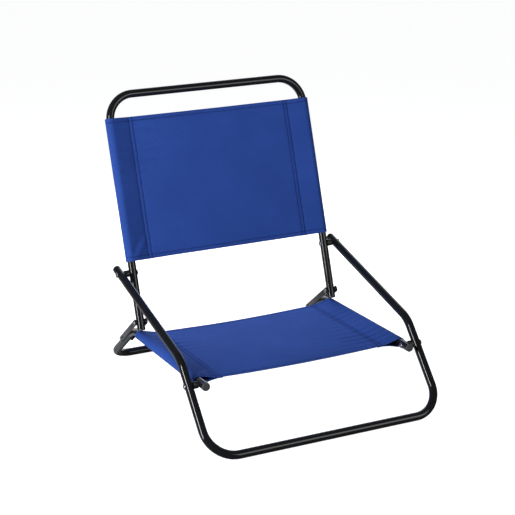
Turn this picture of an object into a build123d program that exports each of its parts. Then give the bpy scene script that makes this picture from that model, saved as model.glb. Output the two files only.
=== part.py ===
"""A low folding camp chair: three bent-tube frames, two pairs of flat link straps, and a sling back and seat.

Millimetres. X runs across the chair and is its symmetry axis, the sitter faces -Y, and Z is up.
The origin is on the floor, under the middle of the chair's box.
"""

import os
from math import asin, atan2, cos, degrees, hypot, sin

from build123d import *

os.makedirs("parts", exist_ok=True)

# ---------------------------------------------------------------- driving dimensions

TUBE_R = 9.5  # 19 mm tube in all three frames
TUBE_WALL = 1.2
TUBE_INNER_R = TUBE_R - TUBE_WALL

FRONT_HALF_WIDTH = 284.0  # centre of the front frame's legs and arms
BACK_HALF_WIDTH = 253.0  # centre of the uprights, and of the seat rails in the same plane

# side view, (y, z) of the tube centre lines
FRONT_BAR = (-335.0, TUBE_R)
ARM_BEND = (-180.0, 183.0)
ARM_END = (195.0, 279.5)
TOP_BAR = (300.0, 669.0)
UPRIGHT_END = (126.0, 143.0)
RAIL_FRONT = (-246.0, 136.5)
REAR_BAR = (335.0, TUBE_R)
RAIL_SLOPE = -0.0222  # the seat drops this much per mm towards the back

FRONT_CORNER_R = 66.0
ARM_BEND_R = 70.0
TOP_CORNER_R = 62.0
REAR_CORNER_R = 52.0
REAR_BEND_R = 100.0

CAP_THICKNESS = 3.0
PLUG_LENGTH = 14.0
PLUG_CLEARANCE = 0.15

LINK_PIN_HEIGHT = 20.0  # from the end of an upright up to the link's pin
LINK_LENGTH = 120.0  # between the link's two pins
LINK_WIDTH = 14.0
LINK_STEEL = 2.0
LINK_PAST_PIN = 7.5
LINK_CORNER_R = 2.5

WASHER_THICKNESS = 3.2
WASHER_R = 6.5
SPACER_R = 8.0
SIDE_CLEARANCE = 0.3  # along a pin, between pieces that turn against each other
RIVET_R = 3.0
HEAD_R = 6.2
HEAD_HEIGHT = 2.6
RUNNING_CLEARANCE = 0.05  # radial, round a rivet that turns in its hole

FABRIC_GAP = 0.7
FABRIC_R = TUBE_R + 1.7
FABRIC_PANEL_HALF = 0.8
SLEEVE_SEAM = 50.0  # from the tube's centre in to the sewn line
BACK_FABRIC_TOP_Z = 618.0
BACK_FABRIC_BOTTOM_Z = 298.0
SEAT_FABRIC_FRONT_Y = -204.0
SEAT_FABRIC_REAR_Y = 138.0


# ---------------------------------------------------------------- side-view geometry


def along(start, end, distance):
    """The point this far from start towards end."""
    length = hypot(end[0] - start[0], end[1] - start[1])
    share = distance / length
    return (start[0] + (end[0] - start[0]) * share, start[1] + (end[1] - start[1]) * share)


def crossing(a, b, c, d):
    """Where the line through a and b meets the line through c and d."""
    ab = (b[0] - a[0], b[1] - a[1])
    cd = (d[0] - c[0], d[1] - c[1])
    share = ((c[0] - a[0]) * cd[1] - (c[1] - a[1]) * cd[0]) / (ab[0] * cd[1] - ab[1] * cd[0])
    return (a[0] + ab[0] * share, a[1] + ab[1] * share)


def at_height(start, end, z):
    """The point of the line through start and end that is at height z."""
    return along(start, end, (z - start[1]) / (end[1] - start[1]) * hypot(end[0] - start[0], end[1] - start[1]))


def rail_point(y):
    """The point of the seat rail's centre line at y."""
    return (y, RAIL_FRONT[1] + RAIL_SLOPE * (y - RAIL_FRONT[0]))


ARM_PIN = crossing(ARM_BEND, ARM_END, TOP_BAR, UPRIGHT_END)
SEAT_PIN = crossing(FRONT_BAR, ARM_BEND, RAIL_FRONT, rail_point(0.0))
LINK_UPPER_PIN = along(UPRIGHT_END, TOP_BAR, LINK_PIN_HEIGHT)
# the closed link lies along the rear leg, so the leg points at the link's upper pin
REAR_BEND = crossing(LINK_UPPER_PIN, REAR_BAR, RAIL_FRONT, rail_point(0.0))
LINK_LOWER_PIN = along(LINK_UPPER_PIN, REAR_BAR, LINK_LENGTH)

SIDES = {"left": -1, "right": 1}


def on_side(x, point):
    """A 3-D point from a place across the chair and a side-view point."""
    return (x, point[0], point[1])


# ---------------------------------------------------------------- shared makers


def frame_tube(points, radii, pin_holes):
    """A bent tube along filleted runs, drilled across for its pins.

    pin_holes lists (x, side-view point, hole radius)."""
    with BuildPart() as tube:
        with BuildLine() as centre_line:
            FilletPolyline(*points, radius=radii)
        with BuildSketch(Plane(origin=centre_line.line @ 0, z_dir=centre_line.line % 0)):
            Circle(TUBE_R)
            Circle(TUBE_INNER_R, mode=Mode.SUBTRACT)
        sweep(path=centre_line.line)
        for x, point, hole_r in pin_holes:
            with Locations(Location(on_side(x, point), (0, 90, 0))):
                Cylinder(hole_r, 2 * TUBE_R + 2, mode=Mode.SUBTRACT)
    return tube.part


def end_cap(x, tip, towards, name):
    """A plastic plug whose rounded head ends at tip; towards is a point further up the tube."""
    outward = Vector(0, tip[0] - towards[0], tip[1] - towards[1]).normalized()
    tip_plane = Plane(origin=on_side(x, tip), x_dir=(1, 0, 0), z_dir=outward)
    with BuildPart() as cap:
        with BuildSketch(tip_plane):
            Circle(TUBE_R)
        extrude(amount=-CAP_THICKNESS)
        fillet(cap.edges().filter_by(GeomType.CIRCLE).sort_by(Axis(tip_plane.origin, outward))[-1:], 1.8)
        with BuildSketch(tip_plane.offset(-CAP_THICKNESS)):
            Circle(TUBE_INNER_R - PLUG_CLEARANCE)
            Circle(TUBE_INNER_R - PLUG_CLEARANCE - 2.0, mode=Mode.SUBTRACT)
        extrude(amount=-PLUG_LENGTH)
    write(cap.part, name)


def dome_point(share):
    """(height, radius) of a rivet head's arc, share 0 at its crown and 1 at its rim."""
    sphere_r = (HEAD_HEIGHT**2 + HEAD_R**2) / (2 * HEAD_HEIGHT)
    angle = asin(HEAD_R / sphere_r) * share
    return (HEAD_HEIGHT - sphere_r + sphere_r * cos(angle), sphere_r * sin(angle))


def rivet(point, x_start, x_end, heads, name, shank_r=RIVET_R):
    """A rivet along X from x_start to x_end, with a domed head past each end that heads names."""
    low, high = min(x_start, x_end), max(x_start, x_end)
    lengthwise = Plane(origin=on_side(0, point), x_dir=(1, 0, 0), z_dir=(0, -1, 0))
    middle = dome_point(0.5)
    with BuildPart() as pin:
        with BuildSketch(lengthwise):
            with BuildLine():
                Polyline((low, 0), (low, shank_r), (high, shank_r), (high, 0), close=True)
            make_face()
            for x in heads:
                out = -1 if x == low else 1
                with BuildLine():
                    Polyline((x + out * HEAD_HEIGHT, 0), (x, 0), (x, HEAD_R))
                    ThreePointArc((x, HEAD_R), (x + out * middle[0], middle[1]), (x + out * HEAD_HEIGHT, 0))
                make_face()
        revolve(axis=Axis(on_side(0, point), (1, 0, 0)))
    write(pin.part, name)


def ring(point, x_start, x_end, outer_r, bore_r, edge):
    """A short sleeve along X with softened rims."""
    with BuildPart() as sleeve:
        with BuildSketch(Plane(origin=on_side(min(x_start, x_end), point), x_dir=(0, 1, 0), z_dir=(1, 0, 0))):
            Circle(outer_r)
            Circle(bore_r, mode=Mode.SUBTRACT)
        extrude(amount=abs(x_end - x_start))
        outer_rims = sleeve.edges().filter_by(GeomType.CIRCLE).filter_by(lambda rim: rim.radius > bore_r + 0.1)
        chamfer(outer_rims, edge)
    return sleeve.part


def write(piece, name):
    """Label a finished piece and write its STEP file."""
    piece.label = name
    export_step(piece, f"parts/{name}.step")


# ---------------------------------------------------------------- the three frames

running_hole = RIVET_R + RUNNING_CLEARANCE

front_points = [
    on_side(-FRONT_HALF_WIDTH, along(ARM_END, ARM_BEND, CAP_THICKNESS)),
    on_side(-FRONT_HALF_WIDTH, ARM_BEND),
    on_side(-FRONT_HALF_WIDTH, FRONT_BAR),
    on_side(FRONT_HALF_WIDTH, FRONT_BAR),
    on_side(FRONT_HALF_WIDTH, ARM_BEND),
    on_side(FRONT_HALF_WIDTH, along(ARM_END, ARM_BEND, CAP_THICKNESS)),
]
front_holes = [
    (side * FRONT_HALF_WIDTH, pin, running_hole) for side in SIDES.values() for pin in (SEAT_PIN, ARM_PIN)
]
front_frame_tube = frame_tube(
    front_points, [ARM_BEND_R, FRONT_CORNER_R, FRONT_CORNER_R, ARM_BEND_R], front_holes
)
write(front_frame_tube, "front_frame_tube")

back_points = [
    on_side(-BACK_HALF_WIDTH, along(UPRIGHT_END, TOP_BAR, CAP_THICKNESS)),
    on_side(-BACK_HALF_WIDTH, TOP_BAR),
    on_side(BACK_HALF_WIDTH, TOP_BAR),
    on_side(BACK_HALF_WIDTH, along(UPRIGHT_END, TOP_BAR, CAP_THICKNESS)),
]
back_holes = [
    (side * BACK_HALF_WIDTH, pin, running_hole) for side in SIDES.values() for pin in (ARM_PIN, LINK_UPPER_PIN)
]
backrest_tube = frame_tube(back_points, [TOP_CORNER_R, TOP_CORNER_R], back_holes)
write(backrest_tube, "backrest_tube")

seat_points = [
    on_side(-BACK_HALF_WIDTH, along(RAIL_FRONT, REAR_BEND, CAP_THICKNESS)),
    on_side(-BACK_HALF_WIDTH, REAR_BEND),
    on_side(-BACK_HALF_WIDTH, REAR_BAR),
    on_side(BACK_HALF_WIDTH, REAR_BAR),
    on_side(BACK_HALF_WIDTH, REAR_BEND),
    on_side(BACK_HALF_WIDTH, along(RAIL_FRONT, REAR_BEND, CAP_THICKNESS)),
]
seat_holes = [
    (side * BACK_HALF_WIDTH, pin, running_hole) for side in SIDES.values() for pin in (SEAT_PIN, LINK_LOWER_PIN)
]
seat_frame_tube = frame_tube(
    seat_points, [REAR_BEND_R, REAR_CORNER_R, REAR_CORNER_R, REAR_BEND_R], seat_holes
)
write(seat_frame_tube, "seat_frame_tube")


# ---------------------------------------------------------------- link straps

link_run = Vector(0, LINK_UPPER_PIN[0] - LINK_LOWER_PIN[0], LINK_UPPER_PIN[1] - LINK_LOWER_PIN[1]).normalized()
LINK_INNER_HALF = TUBE_R + WASHER_THICKNESS + SIDE_CLEARANCE
LINK_OUTER_HALF = LINK_INNER_HALF + LINK_STEEL


def link_strap(face_x, name):
    """A flat strap from the lower pin to the upper pin, with its +X face at face_x."""
    strap_plane = Plane(origin=on_side(face_x, LINK_LOWER_PIN), x_dir=link_run, z_dir=(-1, 0, 0))
    with BuildPart() as strap:
        with BuildSketch(strap_plane):
            with Locations((LINK_LENGTH / 2, 0)):
                RectangleRounded(LINK_LENGTH + 2 * LINK_PAST_PIN, LINK_WIDTH, LINK_CORNER_R)
            with Locations((0, 0), (LINK_LENGTH, 0)):
                Circle(running_hole, mode=Mode.SUBTRACT)
        extrude(amount=LINK_STEEL)
    write(strap.part, name)


# ---------------------------------------------------------------- pins, washers, caps, both sides

for word, side in SIDES.items():
    rail_x = side * BACK_HALF_WIDTH
    leg_x = side * FRONT_HALF_WIDTH
    rail_inner = rail_x - side * TUBE_R
    rail_outer = rail_x + side * TUBE_R
    leg_inner = leg_x - side * TUBE_R
    leg_outer = leg_x + side * TUBE_R

    end_cap(leg_x, ARM_END, ARM_BEND, f"arm_cap_{word}")
    end_cap(rail_x, UPRIGHT_END, TOP_BAR, f"backrest_cap_{word}")
    end_cap(rail_x, RAIL_FRONT, REAR_BEND, f"rail_cap_{word}")

    strap_faces = (rail_x - LINK_INNER_HALF, rail_x + LINK_OUTER_HALF)
    for place, face_x in zip(("inner", "outer") if side > 0 else ("outer", "inner"), strap_faces):
        link_strap(face_x, f"link_{place}_{word}")

    # front leg on the seat rail: the rivet is fixed in the rail and the leg turns on it
    seat_head = leg_outer + side * SIDE_CLEARANCE
    rivet(SEAT_PIN, rail_inner, seat_head, (rail_inner, seat_head), f"seat_rivet_{word}")
    write(
        ring(SEAT_PIN, rail_outer, leg_inner - side * SIDE_CLEARANCE, SPACER_R, running_hole, 0.8),
        f"seat_spacer_{word}",
    )

    # arm on the upright: the rivet is cut where arm and spacer meet, at the linkage's open pivot
    arm_face = leg_inner - side * SIDE_CLEARANCE
    rivet(ARM_PIN, rail_inner, arm_face, (rail_inner,), f"arm_rivet_{word}")
    write(ring(ARM_PIN, rail_outer, arm_face, SPACER_R, running_hole, 0.8), f"arm_spacer_{word}")
    rivet(ARM_PIN, leg_inner, leg_outer, (leg_outer,), f"arm_rivet_head_{word}")

    # the link's two pins turn with the link
    for level, pin in (("upper", LINK_UPPER_PIN), ("lower", LINK_LOWER_PIN)):
        straps = (rail_x - LINK_OUTER_HALF, rail_x + LINK_OUTER_HALF)
        rivet(pin, straps[0], straps[1], straps, f"link_{level}_rivet_{word}")
        with BuildPart() as washers:
            for hand in (-1, 1):
                add(
                    ring(
                        pin,
                        rail_x + hand * (TUBE_R + SIDE_CLEARANCE),
                        rail_x + hand * LINK_INNER_HALF,
                        WASHER_R,
                        running_hole,
                        0.4,
                    )
                )
        write(washers.part, f"link_{level}_washers_{word}")


# ---------------------------------------------------------------- fabric


def sling(start, end, name):
    """A sheet sewn into a sleeve round each tube, from start to end along the tubes' centre line."""
    run = Vector(0, end[0] - start[0], end[1] - start[1])
    section = Plane(origin=on_side(0, start), x_dir=(1, 0, 0), z_dir=run.normalized())
    seam_x = BACK_HALF_WIDTH - SLEEVE_SEAM
    with BuildPart() as sheet:
        with BuildSketch(section):
            Rectangle(2 * seam_x + 2, 2 * FABRIC_PANEL_HALF)
            for side in SIDES.values():
                tube_x = side * BACK_HALF_WIDTH
                with BuildSketch(mode=Mode.ADD):
                    with Locations((tube_x, 0)):
                        Circle(FABRIC_R)
                    with Locations((side * seam_x, 0)):
                        Circle(FABRIC_PANEL_HALF)
                    make_hull()
                with Locations((tube_x, 0)):
                    Circle(TUBE_R + FABRIC_GAP, mode=Mode.SUBTRACT)
        extrude(amount=run.length)
    write(sheet.part, name)


sling(
    at_height(UPRIGHT_END, TOP_BAR, BACK_FABRIC_BOTTOM_Z),
    at_height(UPRIGHT_END, TOP_BAR, BACK_FABRIC_TOP_Z),
    "back_fabric",
)
sling(rail_point(SEAT_FABRIC_FRONT_Y), rail_point(SEAT_FABRIC_REAR_Y), "seat_fabric")


# ---------------------------------------------------------------- what the joints need to know


def show(name, point):
    print(f"{name}: y {point[0]:.3f}  z {point[1]:.3f}")


show("seat pin", SEAT_PIN)
show("arm pin", ARM_PIN)
show("link upper pin", LINK_UPPER_PIN)
show("link lower pin", LINK_LOWER_PIN)
show("rear bend", REAR_BEND)
link_rise = degrees(atan2(LINK_UPPER_PIN[1] - LINK_LOWER_PIN[1], LINK_LOWER_PIN[0] - LINK_UPPER_PIN[0]))
print(f"link rises {link_rise:.2f} degrees")
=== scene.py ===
"""Low folding camp chair: bent tube frames, links, rivets and a sewn sling back and seat.

Metres, in the frame of the CAD model: X runs across the chair, the sitter faces -Y, Z is up.
"""

from math import asin, cos, hypot, pi, radians, sin

import bmesh
import bpy
import numpy as np
from bpy.props import FloatProperty, FloatVectorProperty, IntProperty, PointerProperty
from mathutils import Matrix, Vector, noise


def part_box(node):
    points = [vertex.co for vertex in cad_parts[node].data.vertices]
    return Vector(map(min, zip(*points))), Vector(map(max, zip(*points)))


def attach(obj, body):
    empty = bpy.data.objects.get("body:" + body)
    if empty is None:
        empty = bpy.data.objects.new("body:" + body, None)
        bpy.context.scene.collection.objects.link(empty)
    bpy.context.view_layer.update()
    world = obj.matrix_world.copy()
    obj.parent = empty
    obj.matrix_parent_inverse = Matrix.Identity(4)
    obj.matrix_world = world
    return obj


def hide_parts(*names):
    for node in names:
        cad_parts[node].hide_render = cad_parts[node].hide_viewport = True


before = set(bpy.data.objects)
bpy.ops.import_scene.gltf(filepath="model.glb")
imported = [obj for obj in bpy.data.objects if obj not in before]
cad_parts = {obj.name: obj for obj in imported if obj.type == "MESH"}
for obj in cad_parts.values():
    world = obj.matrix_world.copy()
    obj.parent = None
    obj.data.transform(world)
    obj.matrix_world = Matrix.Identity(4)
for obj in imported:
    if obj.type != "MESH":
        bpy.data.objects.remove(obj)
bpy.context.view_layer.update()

bl_info = {
    "name": "Low folding camp chair",
    "version": (1, 0, 0),
    "blender": (4, 5, 0),
    "location": "View3D > Sidebar > Camp Chair",
    "description": "Builds the looks of a low folding camp chair round its CAD frame",
    "category": "Add Mesh",
}

SIDES = ("left", "right")


# ---------------------------------------------------------------- places read from the frame


def middle(node):
    """Side-view (y, z) middle of a CAD node."""
    low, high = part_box(node)
    return ((low.y + high.y) / 2, (low.z + high.z) / 2)


def beyond(start, end, distance):
    """The side-view point this far past end, on the line from start."""
    length = hypot(end[0] - start[0], end[1] - start[1])
    share = 1 + distance / length
    return (start[0] + (end[0] - start[0]) * share, start[1] + (end[1] - start[1]) * share)


def at_height(start, end, height):
    """The side-view point of a line at this height."""
    share = (height - start[1]) / (end[1] - start[1])
    return (start[0] + (end[0] - start[0]) * share, height)


def at_depth(start, slope, y):
    """The side-view point of a sloping line through start at this y."""
    return (y, start[1] + slope * (y - start[0]))


def crossing(a, b, c, d):
    """Where the line through a and b meets the line through c and d."""
    ab = (b[0] - a[0], b[1] - a[1])
    cd = (d[0] - c[0], d[1] - c[1])
    share = ((c[0] - a[0]) * cd[1] - (c[1] - a[1]) * cd[0]) / (ab[0] * cd[1] - ab[1] * cd[0])
    return (a[0] + ab[0] * share, a[1] + ab[1] * share)


cap_low, cap_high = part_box("rail_cap_left")
TUBE_R = (cap_high.x - cap_low.x) / 2
front_low, front_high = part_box("front_frame_tube")
back_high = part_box("backrest_tube")[1]
seat_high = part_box("seat_frame_tube")[1]
LEG_X = front_high.x - TUBE_R
RAIL_X = back_high.x - TUBE_R

ARM_PIN = middle("arm_rivet_left")
SEAT_PIN = middle("seat_rivet_left")
LINK_UPPER_PIN = middle("link_upper_rivet_left")

FRONT_BAR = (front_low.y + TUBE_R, TUBE_R)
REAR_BAR = (seat_high.y - TUBE_R, TUBE_R)
TOP_BAR = (back_high.y - TUBE_R, back_high.z - TUBE_R)
ARM_BEND_HEIGHT = 0.183
ARM_PAST_PIN = 0.0269
UPRIGHT_PAST_PIN = 0.020
RAIL_SLOPE = -0.0222
RAIL_FRONT_Y = -0.246
CAP_THICKNESS = 0.003

ARM_BEND = at_height(FRONT_BAR, SEAT_PIN, ARM_BEND_HEIGHT)
ARM_TUBE_END = beyond(ARM_BEND, ARM_PIN, ARM_PAST_PIN - CAP_THICKNESS)
UPRIGHT_TUBE_END = beyond(TOP_BAR, LINK_UPPER_PIN, UPRIGHT_PAST_PIN - CAP_THICKNESS)
RAIL_TUBE_END = at_depth(SEAT_PIN, RAIL_SLOPE, RAIL_FRONT_Y + CAP_THICKNESS)
REAR_BEND = crossing(LINK_UPPER_PIN, REAR_BAR, SEAT_PIN, RAIL_TUBE_END)


# ---------------------------------------------------------------- settings


class TubeSettings(bpy.types.PropertyGroup):
    """Sizes of the bent steel tubes"""

    radius: FloatProperty(
        name="Tube radius", description="Outer radius of the steel tube", default=TUBE_R, unit="LENGTH"
    )
    wall: FloatProperty(
        name="Wall", description="Thickness of the tube's wall", default=0.0012, unit="LENGTH"
    )
    front_corner: FloatProperty(
        name="Front corner", description="Bend radius at the front ground bar", default=0.066, unit="LENGTH"
    )
    arm_bend: FloatProperty(
        name="Arm bend", description="Bend radius between leg and arm", default=0.070, unit="LENGTH"
    )
    top_corner: FloatProperty(
        name="Top corner", description="Bend radius at the top bar", default=0.062, unit="LENGTH"
    )
    rear_corner: FloatProperty(
        name="Rear corner", description="Bend radius at the rear ground bar", default=0.052, unit="LENGTH"
    )
    rear_bend: FloatProperty(
        name="Rear bend", description="Bend radius between seat rail and rear leg", default=0.100,
        unit="LENGTH",
    )
    facets: IntProperty(name="Facets", description="Facets round the tube", default=48, min=12)
    bend_steps: IntProperty(name="Bend steps", description="Steps along each bend", default=22, min=4)


class SlingSettings(bpy.types.PropertyGroup):
    """Sizes of the two fabric slings"""

    back_top: FloatProperty(
        name="Back top", description="Height of the back sling's upper hem", default=0.618, unit="LENGTH"
    )
    back_bottom: FloatProperty(
        name="Back bottom", description="Height of the back sling's lower hem", default=0.298, unit="LENGTH"
    )
    seat_front: FloatProperty(
        name="Seat front", description="Y of the seat sling's front hem", default=-0.204, unit="LENGTH"
    )
    seat_rear: FloatProperty(
        name="Seat rear", description="Y of the seat sling's rear hem", default=0.138, unit="LENGTH"
    )
    thickness: FloatProperty(
        name="Cloth", description="Thickness of one layer of cloth", default=0.00055, unit="LENGTH"
    )
    layer_step: FloatProperty(
        name="Layer step", description="Distance between two sewn layers", default=0.00075, unit="LENGTH"
    )
    sleeve_clearance: FloatProperty(
        name="Sleeve clearance", description="From the tube to the middle of the cloth", default=0.00145,
        unit="LENGTH",
    )
    sleeve_ease: FloatProperty(
        name="Sleeve ease", description="How far the sleeve stands off the tube's outer side", default=0.0018,
        unit="LENGTH",
    )
    outer_row: FloatProperty(
        name="Outer seam row", description="From the tube's middle to the first stitch row", default=0.045,
        unit="LENGTH",
    )
    inner_row: FloatProperty(
        name="Inner seam row", description="From the tube's middle to the second stitch row", default=0.054,
        unit="LENGTH",
    )
    flap_past_row: FloatProperty(
        name="Flap", description="Flap left past the second stitch row", default=0.005, unit="LENGTH"
    )
    hem_depth: FloatProperty(
        name="Hem", description="Depth of the folded hems", default=0.013, unit="LENGTH"
    )
    hem_row: FloatProperty(
        name="Hem row", description="From the hem's edge to its stitch row", default=0.0098, unit="LENGTH"
    )
    seam_pull: FloatProperty(
        name="Seam pull", description="How deep a stitch row pulls the cloth in", default=0.0008,
        unit="LENGTH",
    )
    cell: FloatProperty(
        name="Cloth cell", description="Spacing of the simulated cloth's points", default=0.0062,
        unit="LENGTH",
    )
    bunching: FloatProperty(
        name="Bunching", description="Share by which the sewing gathers the cloth along its sleeves",
        default=0.022,
    )
    fold_spacing: FloatProperty(
        name="Fold spacing", description="From one small fold to the next beside a seam", default=0.024,
        unit="LENGTH",
    )
    fold_seed: FloatProperty(
        name="Fold seed", description="Depth of the folds that the cloth settles from", default=0.0012,
        unit="LENGTH",
    )
    crease_depth: FloatProperty(
        name="Crease", description="Height of the slack crease at a sleeve's lower corner", default=0.0022,
        unit="LENGTH",
    )
    settle_frames: IntProperty(
        name="Settling", description="Frames that the cloth takes to settle", default=24, min=1
    )


class StitchSettings(bpy.types.PropertyGroup):
    """Sizes of the sewing"""

    pitch: FloatProperty(
        name="Pitch", description="From one stitch to the next", default=0.0034, unit="LENGTH"
    )
    length: FloatProperty(name="Stitch", description="Length of one stitch", default=0.0029, unit="LENGTH")
    thread: FloatProperty(name="Thread", description="Width of the thread", default=0.0010, unit="LENGTH")
    unevenness: FloatProperty(
        name="Unevenness", description="Random share of each stitch's length", default=0.08
    )
    seed: IntProperty(name="Seed", description="Seed of the unevenness", default=4)


class RivetSettings(bpy.types.PropertyGroup):
    """Sizes of the rivets"""

    shank_radius: FloatProperty(
        name="Shank radius", description="Radius of a rivet's shank", default=0.003, unit="LENGTH"
    )
    head_radius: FloatProperty(
        name="Head radius", description="Radius of a rivet's head", default=0.0062, unit="LENGTH"
    )
    head_height: FloatProperty(
        name="Head height", description="Height of a rivet's domed head", default=0.0026, unit="LENGTH"
    )
    dimple: FloatProperty(
        name="Dimple", description="Depth of the set mark in a head, as a share of its height", default=0.22
    )


class ColourSettings(bpy.types.PropertyGroup):
    """Colours of the chair"""

    paint: FloatVectorProperty(
        name="Tube paint", description="Colour of the tubes' gloss coat", subtype="COLOR", size=3,
        default=(0.0034, 0.0036, 0.0046),
    )
    caps: FloatVectorProperty(
        name="Caps", description="Colour of the plastic end caps", subtype="COLOR", size=3,
        default=(0.030, 0.032, 0.036),
    )
    spacers: FloatVectorProperty(
        name="Spacers", description="Colour of the plastic spacers", subtype="COLOR", size=3,
        default=(0.008, 0.008, 0.009),
    )
    steel: FloatVectorProperty(
        name="Rivets", description="Colour of the plated rivets", subtype="COLOR", size=3,
        default=(0.56, 0.56, 0.57),
    )
    cloth: FloatVectorProperty(
        name="Cloth", description="Colour of the woven cloth", subtype="COLOR", size=3,
        default=(0.0178, 0.0475, 0.216),
    )
    thread: FloatVectorProperty(
        name="Thread", description="Colour of the sewing thread", subtype="COLOR", size=3,
        default=(0.0050, 0.0150, 0.092),
    )
    floor: FloatVectorProperty(
        name="Floor", description="Colour of the studio floor", subtype="COLOR", size=3,
        default=(0.36, 0.36, 0.36),
    )


class StudioSettings(bpy.types.PropertyGroup):
    """Camera and light of the studio"""

    azimuth: FloatProperty(
        name="Azimuth", description="Camera's turn round the chair", default=radians(-25.7), subtype="ANGLE"
    )
    elevation: FloatProperty(
        name="Elevation", description="Camera's height angle", default=radians(17.6), subtype="ANGLE"
    )
    roll: FloatProperty(name="Roll", description="Camera's lean", default=radians(-0.6), subtype="ANGLE")
    distance: FloatProperty(
        name="Distance", description="From the camera to what it looks at", default=3.3861, unit="LENGTH"
    )
    lens: FloatProperty(name="Lens", description="Focal length in millimetres", default=105.86)
    target: FloatVectorProperty(
        name="Target", description="What the camera looks at", default=(-0.0515, -0.0850, 0.3519),
        subtype="TRANSLATION", unit="LENGTH", size=3,
    )
    backdrop: FloatProperty(name="Backdrop", description="Brightness of the white backdrop", default=1.06)
    room: FloatProperty(name="Room", description="Brightness of the room behind the camera", default=0.09)
    paper: FloatProperty(
        name="Backdrop reach", description="Half the angle that the backdrop fills behind the chair",
        default=radians(32), subtype="ANGLE",
    )
    lit_floor: FloatProperty(
        name="Lit floor", description="Brightness that gloss finds low down on the lit side behind the chair",
        default=0.46, min=0,
    )
    below: FloatProperty(
        name="Below", description="Share of the light that gloss shows from under the horizon", default=0.07
    )


class ChairSettings(bpy.types.PropertyGroup):
    """Everything that a user would change on the chair"""

    tubes: PointerProperty(type=TubeSettings)
    slings: PointerProperty(type=SlingSettings)
    stitches: PointerProperty(type=StitchSettings)
    rivets: PointerProperty(type=RivetSettings)
    colours: PointerProperty(type=ColourSettings)
    studio: PointerProperty(type=StudioSettings)


# ---------------------------------------------------------------- node helpers


def add(tree, kind, inputs=None, **settings):
    """A node with its settings, whose inputs are either values or links from other sockets."""
    node = tree.nodes.new(kind)
    for key, value in settings.items():
        setattr(node, key, value)
    for key, value in (inputs or {}).items():
        if isinstance(value, bpy.types.NodeSocket):
            tree.links.new(value, node.inputs[key])
        else:
            node.inputs[key].default_value = value
    return node


def new_material(name, **sockets):
    """A material with one Principled shader whose sockets hold these values, and its tree and shader."""
    material = bpy.data.materials.new(name)
    material.use_nodes = True
    shader = material.node_tree.nodes["Principled BSDF"]
    for key, value in sockets.items():
        shader.inputs[key.replace("_", " ")].default_value = value
    return material, material.node_tree, shader


def new_tree(name, sizes):
    """A Geometry Nodes tree with a mesh input, these named sizes and a mesh output, and its input node."""
    tree = bpy.data.node_groups.new(name, "GeometryNodeTree")
    tree.is_modifier = True
    tree.interface.new_socket("Geometry", in_out="INPUT", socket_type="NodeSocketGeometry")
    for label, kind in sizes.items():
        tree.interface.new_socket(label, in_out="INPUT", socket_type=kind)
    tree.interface.new_socket("Geometry", in_out="OUTPUT", socket_type="NodeSocketGeometry")
    return tree, tree.nodes.new("NodeGroupInput")


def end_tree(tree, geometry, material):
    """Ends a tree in real geometry with its material."""
    real = add(tree, "GeometryNodeRealizeInstances", {"Geometry": geometry})
    painted = add(
        tree, "GeometryNodeSetMaterial", {"Geometry": real.outputs["Geometry"], "Material": material}
    )
    add(tree, "NodeGroupOutput", {"Geometry": painted.outputs["Geometry"]})


FLOAT = "NodeSocketFloat"
WHOLE = "NodeSocketInt"


# ---------------------------------------------------------------- mesh helpers


def new_object(name, mesh):
    """An object at the origin that shows this mesh."""
    piece = bpy.data.objects.new(name, mesh)
    bpy.context.scene.collection.objects.link(piece)
    return piece


def point_mesh(name, points, edges=(), faces=(), **attributes):
    """A mesh of points, edges and faces with named point attributes."""
    mesh = bpy.data.meshes.new(name)
    mesh.from_pydata([tuple(p) for p in points], list(edges), list(faces))
    for label, values in attributes.items():
        values = np.asarray(values, np.float32)
        kind, key = ("FLOAT_VECTOR", "vector") if values.ndim == 2 else ("FLOAT", "value")
        mesh.attributes.new(label, kind, "POINT").data.foreach_set(key, values.ravel())
    return mesh


def run_tree(piece, tree, sizes):
    """Runs a tree on a piece with these sizes, and leaves the result as the piece's plain mesh."""
    modifier = piece.modifiers.new(tree.name, "NODES")
    modifier.node_group = tree
    for item in tree.interface.items_tree:
        if item.in_out == "INPUT" and item.name in sizes:
            modifier[item.identifier] = sizes[item.name]
    return bake(piece)


def bake(piece):
    """Turns what a piece's modifiers show into its plain mesh, and removes the modifiers."""
    bpy.context.view_layer.update()
    shown = piece.evaluated_get(bpy.context.evaluated_depsgraph_get())
    mesh = bpy.data.meshes.new_from_object(shown)
    if not mesh.polygons:
        raise RuntimeError(f"{piece.name} came out without faces")
    piece.modifiers.clear()
    piece.data = mesh
    mesh.name = piece.name
    return piece


def smooth(mesh, sharp_angle):
    """Smooth shading with sharp edges past an angle."""
    mesh.shade_smooth()
    mesh.set_sharp_from_angle(angle=sharp_angle)


def seat_on(piece, body, nodes):
    """Fixes a finished piece to its body, in the place of the CAD nodes it stands for."""
    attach(piece, body)
    if nodes:
        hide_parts(*nodes)
    return piece


# ---------------------------------------------------------------- materials


def object_noise(tree, scale, detail=2.0, roughness=0.5):
    """A noise texture on Object coordinates."""
    place = add(tree, "ShaderNodeTexCoord").outputs["Object"]
    values = {"Vector": place, "Scale": scale, "Detail": detail, "Roughness": roughness}
    return add(tree, "ShaderNodeTexNoise", values)


def spread_to(tree, value, low, high, from_low=0.3, from_high=0.7):
    """A value's range brought to low..high."""
    mapped = add(
        tree,
        "ShaderNodeMapRange",
        {"Value": value, "From Min": from_low, "From Max": from_high, "To Min": low, "To Max": high},
    )
    return mapped.outputs["Result"]


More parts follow.
